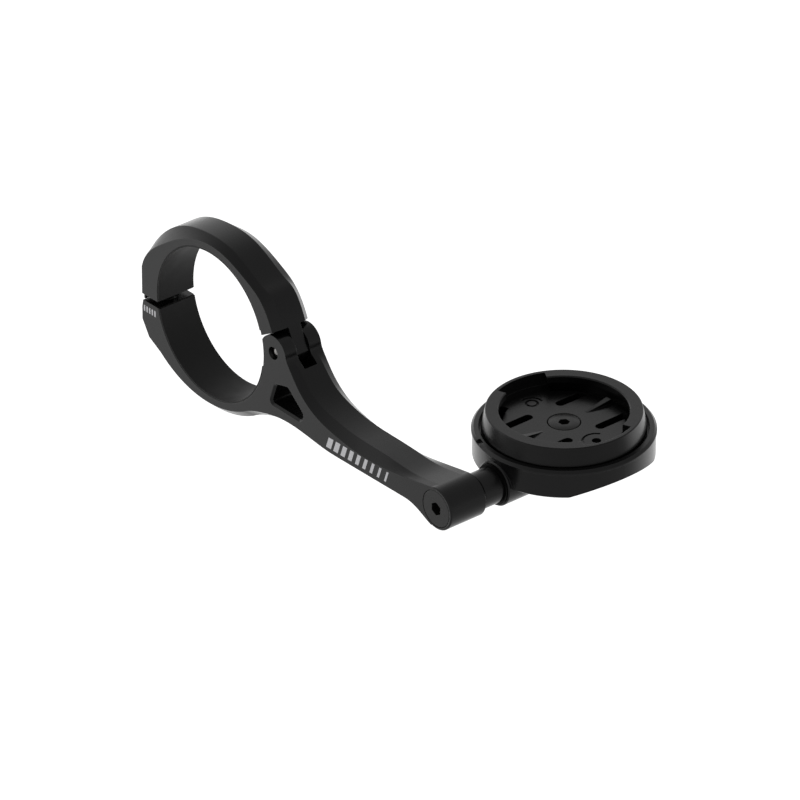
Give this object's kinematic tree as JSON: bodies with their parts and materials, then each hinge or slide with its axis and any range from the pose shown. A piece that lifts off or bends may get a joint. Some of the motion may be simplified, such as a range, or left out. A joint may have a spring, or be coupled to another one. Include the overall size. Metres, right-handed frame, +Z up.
{
  "type": "handlebar computer mount",
  "caption": "Out-front handlebar mount for a cycling computer: hinged bar clamp, drop arm and a tilting quarter-turn puck.",
  "frame": {"origin": "on the bar's axis, halfway across the clamp band", "axes": "+X forward from the bar towards the puck, +Y along the bar towards the puck's side, +Z up"},
  "size_m": [0.1065, 0.0503, 0.0382],
  "materials": {
    "anodised": "satin black anodised, bead blasted",
    "composite": "fine moulded texture, black",
    "liner": "matt black elastomer",
    "washer": "smooth black nylon",
    "steel": "turned stainless steel",
    "black_steel": "black oxide steel",
    "thread_brass": "plain turned brass"
  },
  "bodies": {
    "arm": {"arm": "anodised", "hinge_pin": "steel", "lower_liner": "liner", "barrel_bush": "washer"},
    "strap": {"strap": "anodised", "upper_liner": "liner"},
    "clamp_bolt": {"clamp_bolt": "black_steel", "clamp_washer": "black_steel"},
    "puck": {"carrier": "anodised", "twist_insert": "composite", "insert_gasket": "liner", "insert_screw": "black_steel", "screw_insert": "thread_brass", "locating_pins": "steel", "boss_insert": "thread_brass", "pivot_spacer": "anodised", "inner_washer": "washer", "outer_washer": "washer"},
    "tilt_bolt": {"tilt_bolt": "black_steel"}
  },
  "joints": [
    {"name": "strap_hinge", "type": "hinge", "parent": "arm", "child": "strap", "pos_m": [0.0192, 0, 0.0019], "axis": [0, 1, 0], "range_deg": [0, 90]},
    {"name": "clamp_bolt_travel", "type": "slide", "parent": "arm", "child": "clamp_bolt", "axis": [0, 0, -1], "range_m": [0, 0.013]},
    {"name": "puck_tilt", "type": "hinge", "parent": "arm", "child": "puck", "pos_m": [0.06745, 0, -0.0113], "axis": [0, 1, 0], "continuous": true},
    {"name": "tilt_bolt_travel", "type": "slide", "parent": "puck", "child": "tilt_bolt", "axis": [0, -1, 0], "range_m": [0, 0.005]}
  ]
}
